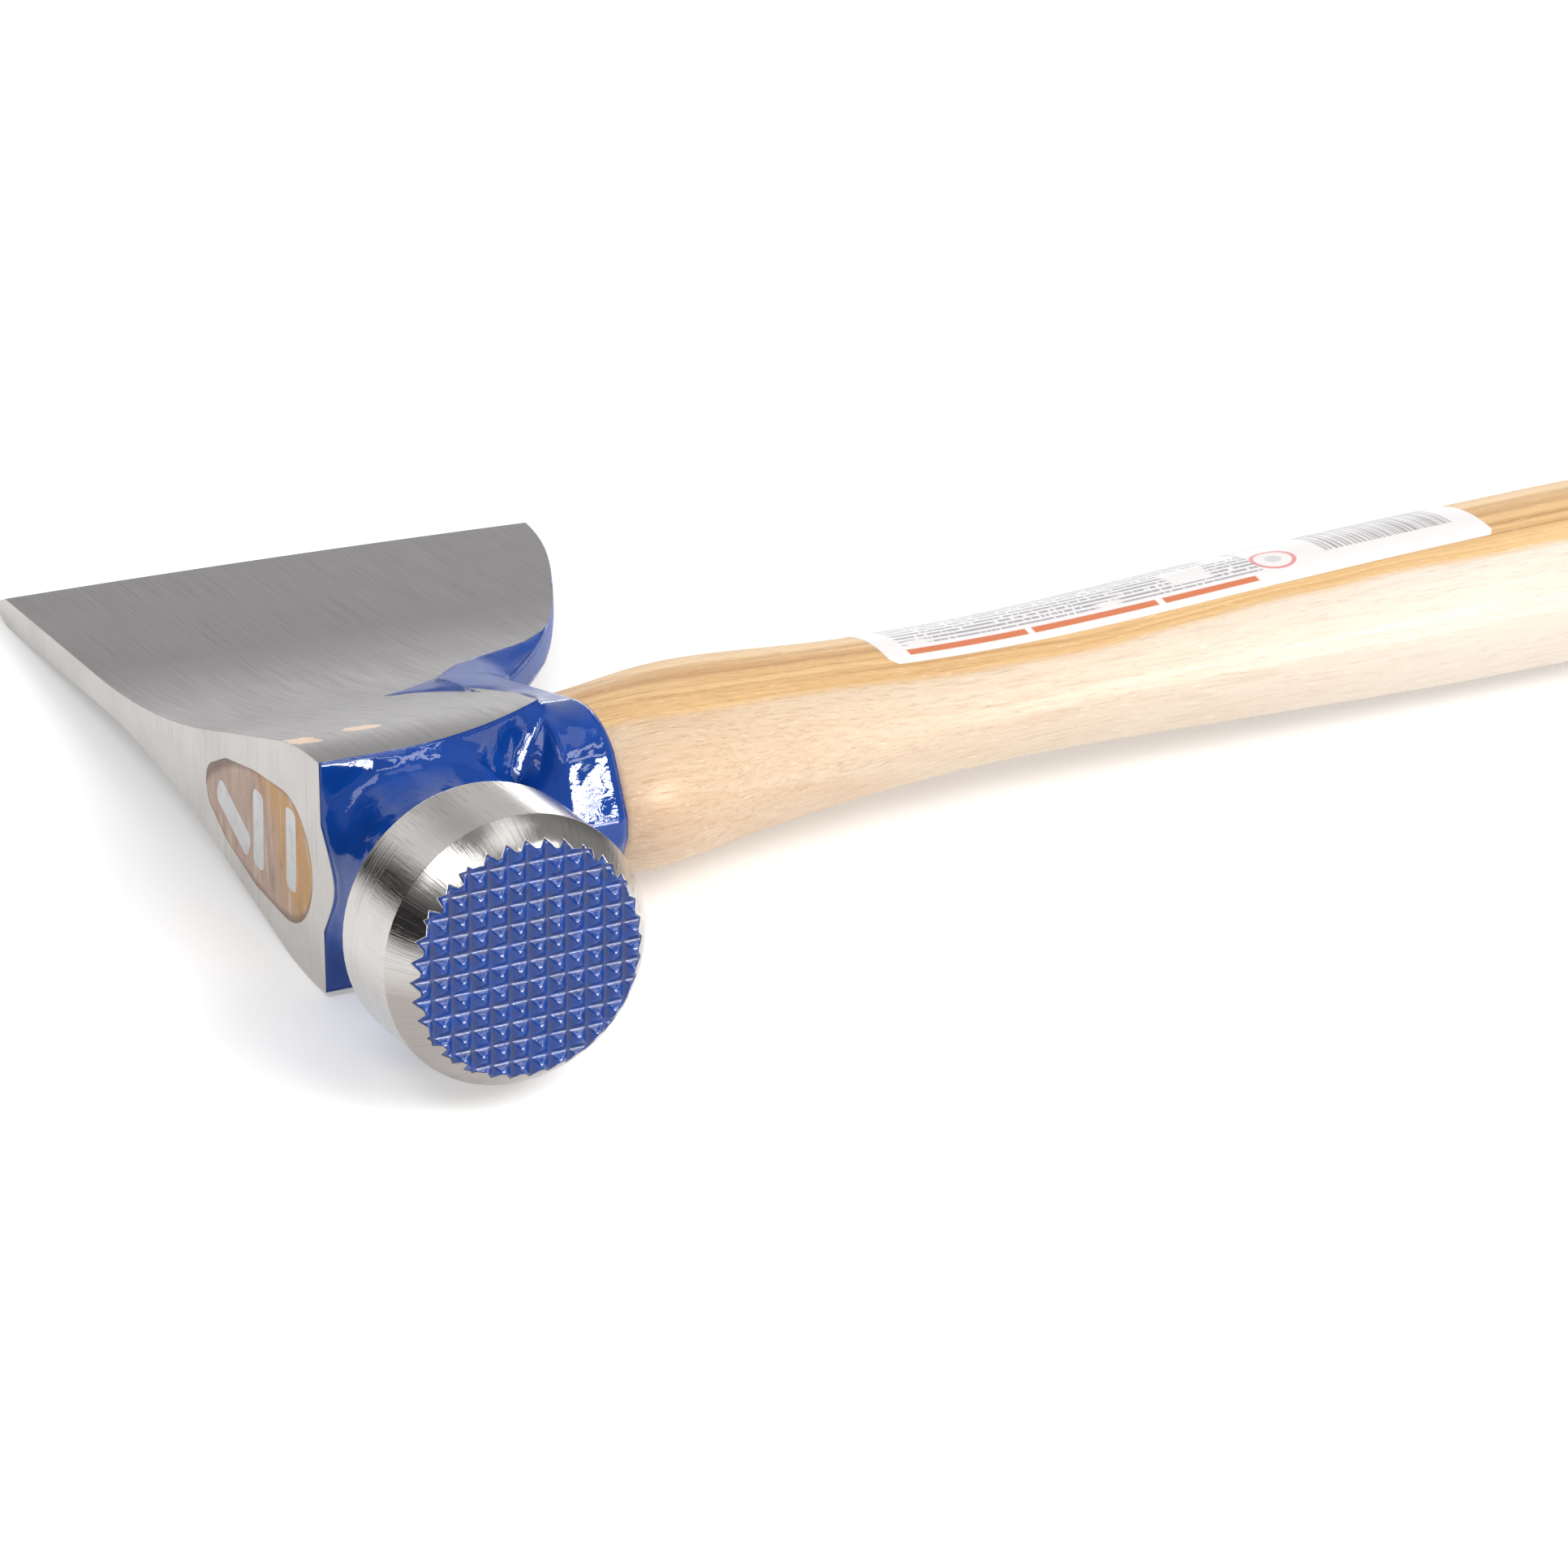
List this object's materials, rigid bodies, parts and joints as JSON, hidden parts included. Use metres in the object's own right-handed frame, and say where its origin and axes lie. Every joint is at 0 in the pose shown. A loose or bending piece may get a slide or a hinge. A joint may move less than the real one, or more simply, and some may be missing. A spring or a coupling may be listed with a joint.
{
  "type": "half hatchet",
  "caption": "Half hatchet with a round milled striking poll, a straight-edged axe blade, a painted collar and a hickory handle wedged in its eye.",
  "frame": {"origin": "middle of the ground top face of the head, on the axis of the eye and of the handle", "axes": "+X down the handle, away from the top face; +Y from the striking face towards the cutting edge; +Z out of the upper cheek, so the tool lies on its side"},
  "size_m": [0.4507, 0.1666, 0.0372],
  "materials": {
    "forged_steel": "ground cheeks and top face with fine parallel scratches, turned striking ring",
    "blue_enamel": "thick glossy enamel over the unground forging and the milled face",
    "hickory": "clear lacquer over pale sapwood with a darker heartwood stripe",
    "wedge_steel": "ground flush with the top face",
    "label_paper": "thin coated label stock"
  },
  "bodies": {
    "root": {"head": "forged_steel", "handle": "hickory", "steel_wedge_1": "wedge_steel", "steel_wedge_2": "wedge_steel", "steel_wedge_3": "wedge_steel", "label": "label_paper"}
  },
  "joints": []
}
